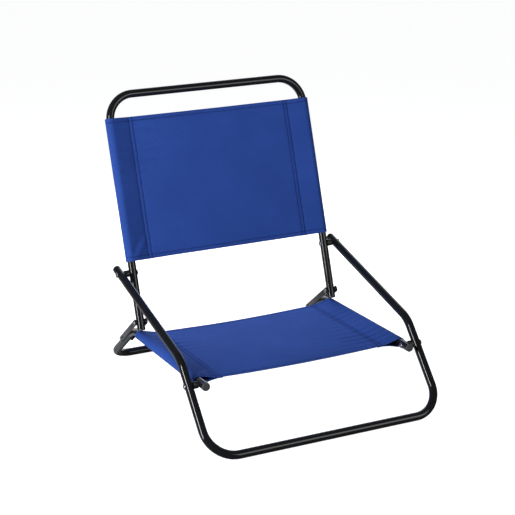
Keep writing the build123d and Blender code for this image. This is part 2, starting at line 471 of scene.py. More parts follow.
def tinted(tree, factor, colour, low, high):
    """A colour that varies between two brightnesses of itself."""
    mix = add(tree, "ShaderNodeMix", data_type="RGBA")
    tree.links.new(factor, mix.inputs["Factor"])
    mix.inputs[6].default_value = (*(c * low for c in colour), 1)
    mix.inputs[7].default_value = (*(c * high for c in colour), 1)
    return mix.outputs[2]


def roughen(tree, shader, height, strength, distance):
    """Bumps a shader's surface by a height."""
    values = {"Height": height, "Strength": strength, "Distance": distance}
    bump = add(tree, "ShaderNodeBump", values)
    tree.links.new(bump.outputs["Normal"], shader.inputs["Normal"])


def gloss_paint(name, colour):
    """Gloss powder coat: a faint orange peel, dust-fine speckle and slightly uneven gloss."""
    material, tree, shader = new_material(
        name, Roughness=0.20, Coat_Weight=1.0, Coat_Roughness=0.04, Specular_IOR_Level=0.12
    )
    cloud = object_noise(tree, 14.0, 3.0)
    tree.links.new(tinted(tree, cloud.outputs["Fac"], colour, 0.75, 1.35), shader.inputs["Base Color"])
    smudges = object_noise(tree, 38.0, 4.0, 0.6)
    tree.links.new(spread_to(tree, smudges.outputs["Fac"], 0.15, 0.27), shader.inputs["Roughness"])
    peel = object_noise(tree, 420.0, 1.0)
    roughen(tree, shader, peel.outputs["Fac"], 0.10, 0.0004)
    return material


def moulded_plastic(name, colour, roughness):
    """Moulded plastic with a fine spark-eroded grain."""
    material, tree, shader = new_material(name, Roughness=roughness, Specular_IOR_Level=0.5)
    cloud = object_noise(tree, 90.0, 3.0)
    tree.links.new(tinted(tree, cloud.outputs["Fac"], colour, 0.85, 1.2), shader.inputs["Base Color"])
    grain = object_noise(tree, 2600.0, 2.0)
    tree.links.new(
        spread_to(tree, grain.outputs["Fac"], roughness - 0.08, roughness + 0.08), shader.inputs["Roughness"]
    )
    roughen(tree, shader, grain.outputs["Fac"], 0.25, 0.0002)
    return material


def plated_steel(name, colour):
    """Zinc-plated steel, bright, with small scuffs from the rivet set."""
    material, tree, shader = new_material(name, Metallic=1.0, Roughness=0.3)
    cloud = object_noise(tree, 300.0, 3.0)
    tree.links.new(tinted(tree, cloud.outputs["Fac"], colour, 0.8, 1.1), shader.inputs["Base Color"])
    scuff = object_noise(tree, 900.0, 4.0, 0.65)
    tree.links.new(spread_to(tree, scuff.outputs["Fac"], 0.22, 0.42), shader.inputs["Roughness"])
    roughen(tree, shader, scuff.outputs["Fac"], 0.15, 0.0002)
    return material


WEAVE_THREADS = 1550.0  # threads per metre of cloth, each way
DOUBLED_CLOTH_PAINTED_SHADE = 0.09  # painted shade: share by which the cloth's colour is darkened where it is doubled, since no light comes through two layers of cloth
# painted shade: share by which the cloth's colour is darkened along the stitch grooves, for their self-shadow
STITCH_GROOVE_PAINTED_SHADE = 0.50


def woven_cloth(name, colour):
    """Plain-weave polyester on the cloth's own UV, with slubs, and painted shade in the weave's hollows,
    where the cloth is doubled and along its stitch grooves.
    """
    material, tree, shader = new_material(
        name, Roughness=0.80, Specular_IOR_Level=0.04, Sheen_Weight=0.01, Sheen_Roughness=0.45
    )
    shader.inputs["Sheen Tint"].default_value = (0.55, 0.65, 1.0, 1.0)
    place = add(tree, "ShaderNodeTexCoord")
    split = add(tree, "ShaderNodeSeparateXYZ", {"Vector": place.outputs["UV"]})

    def maths(operation, first, second=None):
        node = add(tree, "ShaderNodeMath", {0: first}, operation=operation)
        if second is not None:
            if isinstance(second, bpy.types.NodeSocket):
                tree.links.new(second, node.inputs[1])
            else:
                node.inputs[1].default_value = second
        return node.outputs[0]

    across = maths("MULTIPLY", split.outputs["X"], WEAVE_THREADS * pi)
    along = maths("MULTIPLY", split.outputs["Y"], WEAVE_THREADS * pi)
    warp_crown = maths("ABSOLUTE", maths("SINE", across))
    weft_crown = maths("ABSOLUTE", maths("SINE", along))
    over = maths("MULTIPLY", maths("COSINE", across), maths("COSINE", along))
    upper = maths("MULTIPLY_ADD", over, 0.5)
    tree.nodes[-1].inputs[2].default_value = 0.5
    lean = maths("SUBTRACT", warp_crown, weft_crown)
    height = maths("ADD", weft_crown, maths("MULTIPLY", lean, upper))

    def cloth_noise(scale_x, scale_y, detail):
        values = {"Vector": place.outputs["UV"], "Scale": (scale_x, scale_y, 1.0)}
        mapping = add(tree, "ShaderNodeMapping", values)
        values = {"Vector": mapping.outputs["Vector"], "Scale": 1.0, "Detail": detail}
        return add(tree, "ShaderNodeTexNoise", values).outputs["Fac"]

    slubs = cloth_noise(60.0, 700.0, 2.0)
    cross = cloth_noise(700.0, 60.0, 2.0)
    cloud = cloth_noise(9.0, 9.0, 3.0)
    threads = maths("ADD", slubs, cross)
    tone_and_weave_shade = maths("ADD", maths("MULTIPLY", threads, 0.5), maths("MULTIPLY", cloud, 0.8))
    # painted shade: the weave's crowns are lighter and its hollows darker in colour, added to the slubs' and
    # cloud's real variation
    tone_and_weave_shade = maths("ADD", tone_and_weave_shade, maths("MULTIPLY", height, 0.35))
    woven = tinted(tree, spread_to(tree, tone_and_weave_shade, 0.0, 1.0, 0.85, 1.5), colour, 0.84, 1.12)
    doubled = add(tree, "ShaderNodeAttribute", attribute_name="doubled").outputs["Fac"]
    groove = add(tree, "ShaderNodeAttribute", attribute_name="groove").outputs["Fac"]
    # painted shade: the base colour is darkened where the cloth is doubled, for the light that two layers
    # hold back
    doubled_shade = maths("MULTIPLY_ADD", doubled, -DOUBLED_CLOTH_PAINTED_SHADE)
    tree.nodes[-1].inputs[2].default_value = 1.0
    # painted shade: the base colour is darkened along the stitch grooves
    groove_shade = maths("MULTIPLY_ADD", groove, -STITCH_GROOVE_PAINTED_SHADE)
    tree.nodes[-1].inputs[2].default_value = 1.0
    darker = maths("MULTIPLY", doubled_shade, groove_shade)
    shaded = add(tree, "ShaderNodeVectorMath", {0: woven, "Scale": darker}, operation="SCALE")
    tree.links.new(shaded.outputs["Vector"], shader.inputs["Base Color"])
    relief = maths("ADD", height, maths("MULTIPLY", threads, 0.5))
    roughen(tree, shader, relief, 0.35, 0.00012)
    return material


def twisted_thread(name, colour):
    """Polyester sewing thread with a twist along each stitch."""
    material, tree, shader = new_material(name, Roughness=0.7, Specular_IOR_Level=0.10)
    twist = object_noise(tree, 1500.0, 1.0)
    tree.links.new(tinted(tree, twist.outputs["Fac"], colour, 0.7, 1.3), shader.inputs["Base Color"])
    roughen(tree, shader, twist.outputs["Fac"], 0.4, 0.0002)
    return material


FINISHES = {}


def finish_of(name):
    """The material of a record slot, made once."""
    if not FINISHES:
        colours = bpy.context.scene.camp_chair.colours
        FINISHES["tube_paint"] = gloss_paint("gloss_black_coat", colours.paint)
        FINISHES["link_paint"] = gloss_paint("gloss_black_link_coat", colours.paint)
        FINISHES["cap_plastic"] = moulded_plastic("moulded_cap_plastic", colours.caps, 0.42)
        FINISHES["spacer_plastic"] = moulded_plastic("moulded_spacer_plastic", colours.spacers, 0.30)
        FINISHES["rivet_steel"] = plated_steel("plated_rivet_steel", colours.steel)
        FINISHES["sling_fabric"] = woven_cloth("royal_blue_weave", colours.cloth)
        FINISHES["sewing_thread"] = twisted_thread("royal_blue_thread", colours.thread)
    return FINISHES[name]


# ---------------------------------------------------------------- bent tubes


def bent_tube_tree(material):
    """A tube along a line of points, bent at each point to the radius that the point gives."""
    tree, given = new_tree(
        "Bent tube", {"Radius": FLOAT, "Facets": WHOLE, "Bend steps": WHOLE}
    )
    line = add(tree, "GeometryNodeMeshToCurve", {"Mesh": given.outputs["Geometry"]})
    bend = add(tree, "GeometryNodeInputNamedAttribute", {"Name": "bend_radius"}, data_type="FLOAT")
    bent = add(tree, "GeometryNodeFilletCurve", {"Curve": line.outputs["Curve"]}, mode="POLY")
    tree.links.new(given.outputs["Bend steps"], bent.inputs["Count"])
    tree.links.new(bend.outputs["Attribute"], bent.inputs["Radius"])
    ring = add(
        tree,
        "GeometryNodeCurvePrimitiveCircle",
        {"Resolution": given.outputs["Facets"], "Radius": given.outputs["Radius"]},
    )
    tube = add(
        tree,
        "GeometryNodeCurveToMesh",
        {"Curve": bent.outputs["Curve"], "Profile Curve": ring.outputs["Curve"]},
    )
    end_tree(tree, tube.outputs["Mesh"], material)
    return tree


def outward(mesh, line):
    """Turns a tube's faces outwards, away from the nearest point of its line of corner points."""
    face = mesh.polygons[len(mesh.polygons) // 2]
    starts, ends = np.array(line[:-1]), np.array(line[1:])
    centre = np.array(face.center)
    runs = ends - starts
    share = np.clip(((centre - starts) * runs).sum(1) / (runs**2).sum(1), 0, 1)
    nearest = starts + runs * share[:, None]
    away = centre - nearest[np.argmin(np.linalg.norm(centre - nearest, axis=1))]
    if np.dot(away, face.normal) < 0:
        mesh.flip_normals()


def bent_tube(settings, name, node, body, side_points, side_radii):
    """One frame: a tube down one side, across and up the other."""
    points = [(-x, y, z) for x, (y, z) in side_points] + [(x, y, z) for x, (y, z) in reversed(side_points)]
    bends = [0.0, *side_radii, *reversed(side_radii), 0.0]
    edges = [(i, i + 1) for i in range(len(points) - 1)]
    tube = new_object(name, point_mesh(name, points, edges, bend_radius=bends))
    run_tree(
        tube,
        bent_tube_tree(finish_of("tube_paint")),
        {"Radius": settings.radius, "Facets": settings.facets, "Bend steps": settings.bend_steps},
    )
    outward(tube.data, points)
    wall = tube.modifiers.new("Wall", "SOLIDIFY")
    wall.thickness = settings.wall
    wall.offset = -1.0
    bake(tube)
    smooth(tube.data, radians(50))
    return seat_on(tube, body, [node])


class CAMPCHAIR_OT_front_frame(bpy.types.Operator):
    """Make the front frame: ground bar, front legs and arms in one bent tube"""

    bl_idname = "camp_chair.front_frame"
    bl_label = "Front frame"

    def execute(self, context):
        sizes = context.scene.camp_chair.tubes
        bent_tube(
            sizes,
            "front_frame_bent_tube",
            "front_frame_tube",
            "front_frame",
            [(LEG_X, ARM_TUBE_END), (LEG_X, ARM_BEND), (LEG_X, FRONT_BAR)],
            [sizes.arm_bend, sizes.front_corner],
        )
        return {"FINISHED"}


class CAMPCHAIR_OT_backrest_frame(bpy.types.Operator):
    """Make the backrest frame: two uprights and the top bar in one bent tube"""

    bl_idname = "camp_chair.backrest_frame"
    bl_label = "Backrest frame"

    def execute(self, context):
        sizes = context.scene.camp_chair.tubes
        bent_tube(
            sizes,
            "backrest_bent_tube",
            "backrest_tube",
            "backrest",
            [(RAIL_X, UPRIGHT_TUBE_END), (RAIL_X, TOP_BAR)],
            [sizes.top_corner],
        )
        return {"FINISHED"}


class CAMPCHAIR_OT_seat_frame(bpy.types.Operator):
    """Make the seat frame: seat rails, rear legs and rear ground bar in one bent tube"""

    bl_idname = "camp_chair.seat_frame"
    bl_label = "Seat frame"

    def execute(self, context):
        sizes = context.scene.camp_chair.tubes
        bent_tube(
            sizes,
            "seat_frame_bent_tube",
            "seat_frame_tube",
            "seat_frame",
            [(RAIL_X, RAIL_TUBE_END), (RAIL_X, REAR_BEND), (RAIL_X, REAR_BAR)],
            [sizes.rear_bend, sizes.rear_corner],
        )
        return {"FINISHED"}


# ---------------------------------------------------------------- caps, spacers, washers, links


def finished_copy(node, body, slot, rounding):
    """A smooth copy of a CAD piece whose edges are rounded, which stands for it."""
    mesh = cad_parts[node].data.copy()
    shape = bmesh.new()
    shape.from_mesh(mesh)
    bmesh.ops.remove_doubles(shape, verts=shape.verts, dist=1e-6)
    bmesh.ops.dissolve_limit(
        shape, angle_limit=radians(0.4), use_dissolve_boundaries=False, verts=shape.verts, edges=shape.edges
    )
    shape.to_mesh(mesh)
    shape.free()
    mesh.materials.clear()
    mesh.materials.append(finish_of(slot))
    piece = new_object(f"{node}_finished", mesh)
    edge = piece.modifiers.new("Rounded edges", "BEVEL")
    edge.width = rounding
    edge.segments = 2
    edge.limit_method = "ANGLE"
    edge.angle_limit = radians(40)
    edge.harden_normals = False
    bake(piece)
    smooth(piece.data, radians(38))
    return seat_on(piece, body, [node])


class CAMPCHAIR_OT_end_caps(bpy.types.Operator):
    """Make the plastic caps in the open ends of the tubes"""

    bl_idname = "camp_chair.end_caps"
    bl_label = "End caps"

    def execute(self, context):
        carried_by = {"arm_cap": "front_frame", "backrest_cap": "backrest", "rail_cap": "seat_frame"}
        for kind, body in carried_by.items():
            for side in SIDES:
                finished_copy(f"{kind}_{side}", body, "cap_plastic", 0.00025)
        return {"FINISHED"}


class CAMPCHAIR_OT_spacers(bpy.types.Operator):
    """Make the plastic spacers and washers on the pivots"""

    bl_idname = "camp_chair.spacers"
    bl_label = "Spacers and washers"

    def execute(self, context):
        for side in SIDES:
            finished_copy(f"seat_spacer_{side}", "seat_frame", "spacer_plastic", 0.0003)
            finished_copy(f"arm_spacer_{side}", "backrest", "spacer_plastic", 0.0003)
            for level in ("upper", "lower"):
                finished_copy(f"link_{level}_washers_{side}", f"link_{side}", "spacer_plastic", 0.0002)
        return {"FINISHED"}


class CAMPCHAIR_OT_links(bpy.types.Operator):
    """Make the flat steel straps between uprights and rear legs"""

    bl_idname = "camp_chair.links"
    bl_label = "Links"

    def execute(self, context):
        for side in SIDES:
            for place in ("inner", "outer"):
                finished_copy(f"link_{place}_{side}", f"link_{side}", "link_paint", 0.0004)
        return {"FINISHED"}


# ---------------------------------------------------------------- rivets


def rivet_tree(material):
    """Rivets: each edge is a shank, and each point marked as a head carries a domed head."""
    tree, given = new_tree(
        "Rivets",
        {"Shank radius": FLOAT, "Head radius": FLOAT, "Head height": FLOAT, "Dimple": FLOAT},
    )

    def maths(operation, *values):
        node = add(tree, "ShaderNodeMath", dict(enumerate(values)), operation=operation)
        return node.outputs[0]

    line = add(tree, "GeometryNodeMeshToCurve", {"Mesh": given.outputs["Geometry"]})
    ring = add(
        tree, "GeometryNodeCurvePrimitiveCircle", {"Resolution": 24, "Radius": given.outputs["Shank radius"]}
    )
    shanks = add(
        tree,
        "GeometryNodeCurveToMesh",
        {"Curve": line.outputs["Curve"], "Profile Curve": ring.outputs["Curve"], "Fill Caps": True},
    )

    ball = add(tree, "GeometryNodeMeshUVSphere", {"Segments": 32, "Rings": 16, "Radius": 1.0})
    place = add(tree, "GeometryNodeInputPosition")
    axes = add(tree, "ShaderNodeSeparateXYZ", {"Vector": place.outputs["Position"]})
    rise = maths("POWER", maths("MAXIMUM", axes.outputs["Z"], 0.0), 0.8)
    square = maths("ADD", maths("POWER", axes.outputs["X"], 2.0), maths("POWER", axes.outputs["Y"], 2.0))
    mark = maths("MULTIPLY", given.outputs["Dimple"], maths("EXPONENT", maths("MULTIPLY", square, -22.0)))
    pressed = maths("MULTIPLY", maths("GREATER_THAN", axes.outputs["Z"], 0.2), mark)
    height = maths("MULTIPLY", maths("SUBTRACT", rise, pressed), given.outputs["Head height"])
    domed = add(
        tree,
        "ShaderNodeCombineXYZ",
        {
            "X": maths("MULTIPLY", axes.outputs["X"], given.outputs["Head radius"]),
            "Y": maths("MULTIPLY", axes.outputs["Y"], given.outputs["Head radius"]),
            "Z": height,
        },
    )
    head = add(
        tree,
        "GeometryNodeSetPosition",
        {"Geometry": ball.outputs["Mesh"], "Position": domed.outputs["Vector"]},
    )
    out = add(tree, "GeometryNodeInputNamedAttribute", {"Name": "outward"}, data_type="FLOAT_VECTOR")
    marked = add(tree, "GeometryNodeInputNamedAttribute", {"Name": "head"}, data_type="FLOAT")
    turn = add(tree, "FunctionNodeAlignRotationToVector", {"Vector": out.outputs["Attribute"]}, axis="Z")
    spots = add(
        tree,
        "GeometryNodeMeshToPoints",
        {
            "Mesh": given.outputs["Geometry"],
            "Selection": maths("GREATER_THAN", marked.outputs["Attribute"], 0.5),
        },
    )
    heads = add(
        tree,
        "GeometryNodeInstanceOnPoints",
        {
            "Points": spots.outputs["Points"],
            "Instance": head.outputs["Geometry"],
            "Rotation": turn.outputs["Rotation"],
        },
    )
    both = add(tree, "GeometryNodeJoinGeometry")
    tree.links.new(shanks.outputs["Mesh"], both.inputs["Geometry"])
    tree.links.new(heads.outputs["Instances"], both.inputs["Geometry"])
    end_tree(tree, both.outputs["Geometry"], material)
    return tree


def rivets_on(body, nodes, settings, tree):
    """The rivets of one body. A rivet's box says where it lies and which of its ends carry a head."""
    points, outwards, heads, edges = [], [], [], []
    for node, ends in nodes.items():
        low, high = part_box(node)
        y, z = middle(node)
        first = len(points)
        for x, out in ((low.x, -1.0), (high.x, 1.0)):
            has_head = out in ends
            points.append((x - out * settings.head_height * has_head, y, z))
            outwards.append((out, 0.0, 0.0))
            heads.append(float(has_head))
        edges.append((first, first + 1))
    name = f"rivets_on_{body}"
    piece = new_object(name, point_mesh(name, points, edges, outward=outwards, head=heads))
    run_tree(
        piece,
        tree,
        {
            "Shank radius": settings.shank_radius,
            "Head radius": settings.head_radius,
            "Head height": settings.head_height,
            "Dimple": settings.dimple,
        },
    )
    smooth(piece.data, radians(40))
    return seat_on(piece, body, list(nodes))


class CAMPCHAIR_OT_rivets(bpy.types.Operator):
    """Make the rivets of every pivot"""

    bl_idname = "camp_chair.rivets"
    bl_label = "Rivets"

    def execute(self, context):
        settings = context.scene.camp_chair.rivets
        tree = rivet_tree(finish_of("rivet_steel"))
        both_ends = (-1.0, 1.0)
        rivets_on("seat_frame", {f"seat_rivet_{side}": both_ends for side in SIDES}, settings, tree)
        rivets_on(
            "front_frame", {"arm_rivet_head_left": (-1.0,), "arm_rivet_head_right": (1.0,)}, settings, tree
        )
        rivets_on("backrest", {"arm_rivet_left": (1.0,), "arm_rivet_right": (-1.0,)}, settings, tree)
        for side in SIDES:
            pair = {f"link_{level}_rivet_{side}": both_ends for level in ("upper", "lower")}
            rivets_on(f"link_{side}", pair, settings, tree)
        return {"FINISHED"}


# ---------------------------------------------------------------- sling shape


GATHER_REACH = 0.060  # how far from a seam the gathered cut fades
FOLD_REACH = 0.090  # how far from a seam the seeded folds fade
BACK_ROUGH = 11.0  # place in the noise that each sling's folds come from
SEAT_ROUGH = 23.0
CLOTH_QUALITY = 8
POINT_MASS = 0.003
TENSION, COMPRESSION, SHEAR, BENDING = 30.0, 60.0, 12.0, 0.02
AIR_DAMPING = 1.5
GRAVITY_SHARE = 0.35  # the share of its weight that the cloth settles under
CREASE_RUN = 0.052  # how far up the sleeve the slack crease runs
CREASE_WIDTH = 0.0065
HOLLOW_WIDTH = 0.0075  # the hollow that lies beside the crease
HOLLOW_OFFSET = 0.012
HOLLOW_SHARE = 0.6


class Sling:
    """One sling between two parallel tubes: its own axes, its widths, and the cloth's settled points.

    s runs across the cloth from its middle, t along the tubes, and the normal faces the sitter."""

    def __init__(self, start, end, settings, rough):
        self.settings = settings
        self.rough = rough
        self.start = np.array([0.0, *start])
        run = np.array([0.0, end[0] - start[0], end[1] - start[1]])
        self.length = float(np.linalg.norm(run))
        self.run = run / self.length
        self.normal = np.cross((1.0, 0.0, 0.0), self.run)
        self.sleeve_r = TUBE_R + settings.sleeve_clearance
        self.seam = RAIL_X - settings.outer_row
        self.inner_seam = RAIL_X - settings.inner_row
        self.lean = asin(self.sleeve_r / settings.outer_row)
        self.layer = settings.outer_row * cos(self.lean)
        self.front_edge = self.seam + self.layer
        self.wrap_angle = pi + 2 * self.lean
        self.wrap = self.sleeve_r * self.wrap_angle
        self.back_seam = self.front_edge + self.wrap + self.layer
        self.edge = self.back_seam + (self.seam - self.inner_seam) + settings.flap_past_row

    def place(self, x, t, out):
        """A point from its distance across, along and out of the sling's plane."""
        return self.start + np.array([x, 0.0, 0.0]) + self.run * t + self.normal * out

    def section(self, s, side, behind=False):
        """(x, out) of the flat front or back layer, s from the middle."""
        past = max(0.0, s - self.seam)
        out = past * sin(self.lean)
        return side * (min(s, self.seam) + past * cos(self.lean)), -out if behind else out


def steps(low, high, cell):
    """Evenly spaced values from low to high, about a cell apart."""
    return np.linspace(low, high, max(2, round((high - low) / cell) + 1))


def settle(sling):
    """Lets the cloth settle under a share of its weight between its two tubes, from small seeded folds.

    Gives the front layer's columns, and those of the two back layers from the tube in to the seam."""
    settings = sling.settings
    across = steps(-sling.seam, sling.seam, settings.cell)
    sleeve = steps(sling.seam, sling.front_edge, settings.cell)[1:]
    columns = np.concatenate([-sleeve[::-1], across, sleeve])
    rows = steps(0.0, sling.length, settings.cell * 0.85)
    points, rest, pins, faces = [], [], [], []

    def add_column(s, side, behind):
        first = len(points)
        x, out = sling.section(abs(s), side, behind)
        held = abs(s) > sling.front_edge - 1e-6
        gather = settings.bunching * np.exp(-(((abs(s) - sling.seam) / GATHER_REACH) ** 2))
        near_seam = np.exp(-(((abs(s) - sling.seam) / FOLD_REACH) ** 2))
        for t in rows:
            from_middle = t - sling.length / 2
            uneven = 1 + 0.9 * noise.noise(Vector((s * 9.0, t * 9.0, sling.rough)))
            drift = 3.6 * noise.noise(Vector((s * 5.0, t * 9.0, sling.rough + 5.0)))
            swell = 0.5 + 1.4 * noise.noise(Vector((s * 4.0, t * 7.0, sling.rough + 9.0)))
            fold = near_seam * swell * sin(2 * pi * t / settings.fold_spacing + drift + side)
            ripple = 0.0 if held else settings.fold_seed * fold
            points.append(sling.place(x, t, out + ripple))
            rest.append(sling.place(x, t + from_middle * gather * uneven, out))
            if held:
                pins.append(len(points) - 1)
        return first

    def join(first, second):
        for row in range(len(rows) - 1):
            faces.append((first + row, second + row, second + row + 1, first + row + 1))

    firsts = [add_column(s, -1 if s < 0 else 1, False) for s in columns]
    for left, right in zip(firsts[:-1], firsts[1:]):
        join(left, right)
    back_firsts = {}
    for side in (-1, 1):
        behind = [add_column(s, side, True) for s in sleeve[::-1]]
        seam_column = firsts[len(sleeve)] if side < 0 else firsts[-1 - len(sleeve)]
        for outer, inner in zip(behind, [*behind[1:], seam_column]):
            join(outer, inner)
        back_firsts[side] = [*behind, seam_column]

    settled = np.array(points)
    settled = simulate(settings, points, rest, pins, faces)
    count = len(rows)
    front = np.array([settled[first : first + count] for first in firsts])
    front += sling.normal * crease(sling, columns, rows)[:, :, None]
    back = {
        side: np.array([settled[first : first + count] for first in side_firsts])
        for side, side_firsts in back_firsts.items()
    }
    return columns, sleeve, rows, front, back


def crease(sling, columns, rows):
    """How far each front point stands out at the slack crease up one sleeve from its lower corner."""
    low = np.array([-(sling.front_edge - 0.002), 0.0])
    high = np.array([-(sling.seam - 0.002), CREASE_RUN])
    run = (high - low) / np.linalg.norm(high - low)
    place = np.stack(np.meshgrid(columns, rows, indexing="ij"), axis=2) - low
    along = place @ run / np.linalg.norm(high - low)
    off = place @ np.array([-run[1], run[0]])
    hollow = HOLLOW_SHARE * np.exp(-(((off - HOLLOW_OFFSET) / HOLLOW_WIDTH) ** 2))
    swell = np.exp(-((off / CREASE_WIDTH) ** 2)) - hollow
    loose = np.abs(columns) < sling.front_edge - 0.001
    fade = ease(along / 0.25) * ease((1 - along) / 0.3) * loose[:, None]
    return sling.settings.crease_depth * swell * fade


def simulate(settings, points, rest, pins, faces):
    """Cloth simulation of a sheet from its start to rest, cut to the rest shape and held at the pins."""
    mesh = point_mesh("settling_cloth", points, (), faces)
    cloth_piece = new_object("settling_cloth", mesh)
    cloth_piece.shape_key_add(name="Basis")
    cut = cloth_piece.shape_key_add(name="cut")
    cut.data.foreach_set("co", np.array(rest, np.float32).ravel())
    cloth_piece.vertex_groups.new(name="pins").add(pins, 1.0, "REPLACE")
    modifier = cloth_piece.modifiers.new("Cloth", "CLOTH")
    cloth = modifier.settings
    cloth.quality = CLOTH_QUALITY
    cloth.mass = POINT_MASS
    cloth.tension_stiffness = TENSION
    cloth.compression_stiffness = COMPRESSION
    cloth.shear_stiffness = SHEAR
    cloth.bending_stiffness = BENDING
    cloth.air_damping = AIR_DAMPING
    cloth.vertex_group_mass = "pins"
    cloth.rest_shape_key = cut
    cloth.effector_weights.gravity = GRAVITY_SHARE
    modifier.collision_settings.use_collision = False
    modifier.point_cache.frame_end = settings.settle_frames
    scene = bpy.context.scene
    for number in range(1, settings.settle_frames + 1):
        scene.frame_set(number)
    shown = cloth_piece.evaluated_get(bpy.context.evaluated_depsgraph_get())
    settled = np.zeros(len(points) * 3)
    shown.data.vertices.foreach_get("co", settled)
    scene.frame_set(1)
    bpy.data.objects.remove(cloth_piece)
    return settled.reshape(-1, 3)


def between(table, at, wanted):
    """Points of a table at other parameters along its first axis, on a smooth curve through its own."""
    at, wanted = np.asarray(at), np.clip(wanted, at[0], at[-1])
    index = np.clip(np.searchsorted(at, wanted, side="right") - 1, 0, len(at) - 2)
    slope = np.gradient(table, at, axis=0)
    gap = (at[index + 1] - at[index])[:, None, None]
    u = ((wanted - at[index]) / (at[index + 1] - at[index]))[:, None, None]
    return (
        (2 * u**3 - 3 * u**2 + 1) * table[index]
        + (u**3 - 2 * u**2 + u) * gap * slope[index]
        + (3 * u**2 - 2 * u**3) * table[index + 1]
        + (u**3 - u**2) * gap * slope[index + 1]
    )


def ease(share):
    """0 to 1 with soft ends."""
    share = np.clip(share, 0, 1)
    return share * share * (3 - 2 * share)


class SewnSling:
    """The finished cloth: one strip, wrapped round both tubes and sewn back on itself, with folded hems."""

    def __init__(self, sling):
        self.sling = sling
        settings = sling.settings
        self.columns, self.sleeve, rows, front, back = settle(sling)
        self.rows = self.row_places()
        swap = (1, 0, 2)
        self.front = between(front.transpose(swap), rows, self.rows).transpose(swap)
        self.back = {
            side: between(table.transpose(swap), rows, self.rows).transpose(swap)
            for side, table in back.items()
        }
        self.hem_share = 1 - ease((self.from_hem() - settings.hem_depth) / 0.006)

    def row_places(self):
        """Places of the rows along the tubes, close together at the hems and their stitch rows."""
        settings = self.sling.settings
        near = np.array(
            [0.0, 0.0008, 0.0045, settings.hem_row - 0.0014, settings.hem_row, settings.hem_row + 0.0014,
             settings.hem_depth, settings.hem_depth + 0.0012, settings.hem_depth + 0.005]
        )
        length = self.sling.length
        plain = steps(near[-1], length - near[-1], settings.cell)[1:-1]
        return np.concatenate([near, plain, (length - near)[::-1]])

    def from_hem(self):
        """Each row's distance from the nearer hem's edge."""
        return np.minimum(self.rows, self.sling.length - self.rows)

    def column_at(self, s):
        """The row of points of the strip at s, measured along the cloth from its middle."""
        sling, side, reach = self.sling, (-1 if s < 0 else 1), abs(s)
        stack = sling.settings.layer_step * (1 + 2 * self.hem_share)[:, None]
        if reach <= sling.front_edge:
            return between(self.front, self.columns, np.array([s]))[0]
        if reach < sling.front_edge + sling.wrap:
            share = (reach - sling.front_edge) / sling.wrap
            angle = pi / 2 + sling.lean - share * sling.wrap_angle
            loose = sling.settings.sleeve_ease * max(0.0, cos(angle)) ** 2
            x = RAIL_X + sling.sleeve_r * cos(angle) + loose
            out = sling.sleeve_r * sin(angle)
            return np.array([sling.place(side * x, t, out) for t in self.rows])
        if reach < sling.back_seam:
            along = reach - sling.front_edge - sling.wrap
            at = np.concatenate([[0.0], sling.front_edge - self.sleeve[::-1][1:], [sling.layer]])
            flat = between(self.back[side], at, np.array([along]))[0]
            return flat - sling.normal * stack * float(ease((along - sling.layer + 0.018) / 0.018))
        inward = sling.seam - (reach - sling.back_seam)
        return between(self.front, self.columns, np.array([side * inward]))[0] - sling.normal * stack

    def strip_places(self):
        """Places of the columns across the strip, close together at the stitch rows."""
        sling, cell = self.sling, self.sling.settings.cell
        tight = 0.0017
        near_rows = [
            sling.inner_seam - tight, sling.inner_seam, sling.inner_seam + tight,
            (sling.inner_seam + sling.seam) / 2, sling.seam - tight, sling.seam, sling.seam + tight,
        ]
        flap_rows = [sling.back_seam + (sling.seam - s) for s in near_rows[::-1]]
        half = np.concatenate(
            [
                steps(0.0, near_rows[0] - 0.003, cell),
                near_rows,
                steps(near_rows[-1] + 0.003, sling.front_edge, cell),
                steps(sling.front_edge, sling.front_edge + sling.wrap, 0.0028)[1:],
                steps(sling.front_edge + sling.wrap, flap_rows[0] - 0.003, cell)[1:],
                flap_rows,
                [sling.edge - 0.0012, sling.edge],
            ]
        )
        return np.concatenate([-half[:0:-1], half])

    def build(self, name):
        """The cloth as one grid of points, with folded hems and its UVs in metres of cloth."""
        sling, settings = self.sling, self.sling.settings
        places = self.strip_places()
        grid = np.array([self.column_at(s) for s in places])
        across = np.gradient(grid, places, axis=0)
        along = np.gradient(grid, self.rows, axis=1)
        normal = np.cross(across, along)
        normal /= np.linalg.norm(normal, axis=2, keepdims=True)
        self.places, self.grid, self.normals = places, grid, normal

        flap_inner = sling.back_seam + sling.seam - sling.inner_seam
        seam_rows = (sling.seam, sling.inner_seam, sling.back_seam, flap_inner)
        in_seam = np.array([min(abs(abs(s) - row) for row in seam_rows) < 1e-6 for s in places])
        between_rows = np.array(
            [abs(abs(s) - (sling.inner_seam + sling.seam) / 2) < 1e-6 for s in places]
        )
        in_hem = np.abs(self.from_hem() - settings.hem_row) < 1e-6
        pull = np.zeros(grid.shape[:2])
        pull[in_seam, :] -= settings.seam_pull
        pull[between_rows, :] += settings.seam_pull * 0.5
        pull[:, in_hem] -= settings.seam_pull * 0.8
        surface = grid + normal * pull[:, :, None]
        # mask of the painted shade along the stitch rows of seams and hems
        groove = np.maximum(in_seam[:, None] * 1.0, in_hem[None, :] * 0.8)
        in_panel = np.abs(places) < sling.inner_seam - 0.001
        # mask of the painted shade on doubled cloth: sleeves, flaps and hems
        doubled = np.maximum(1.0 - in_panel[:, None], (self.from_hem() < settings.hem_row)[None, :] * 0.7)

        near = int(np.argmax(self.rows >= settings.hem_depth - 1e-9))
        count = len(self.rows)
        under = -settings.layer_step
        order = [(row, under) for row in range(near, 0, -1)] + [(0, under / 2)]
        order += [(row, 0.0) for row in range(1, count - 1)]
        order += [(count - 1, under / 2)] + [(row, under) for row in range(count - 2, count - 2 - near, -1)]
        lines = []
        cloth_v = []
        travelled = 0.0
        for number, (row, offset) in enumerate(order):
            base = grid if offset else surface
            lines.append(base[:, row] + normal[:, row] * offset)
            if number:
                travelled += float(np.linalg.norm(lines[-1] - lines[-2], axis=1).mean())
            cloth_v.append(travelled)
        lines = np.array(lines)

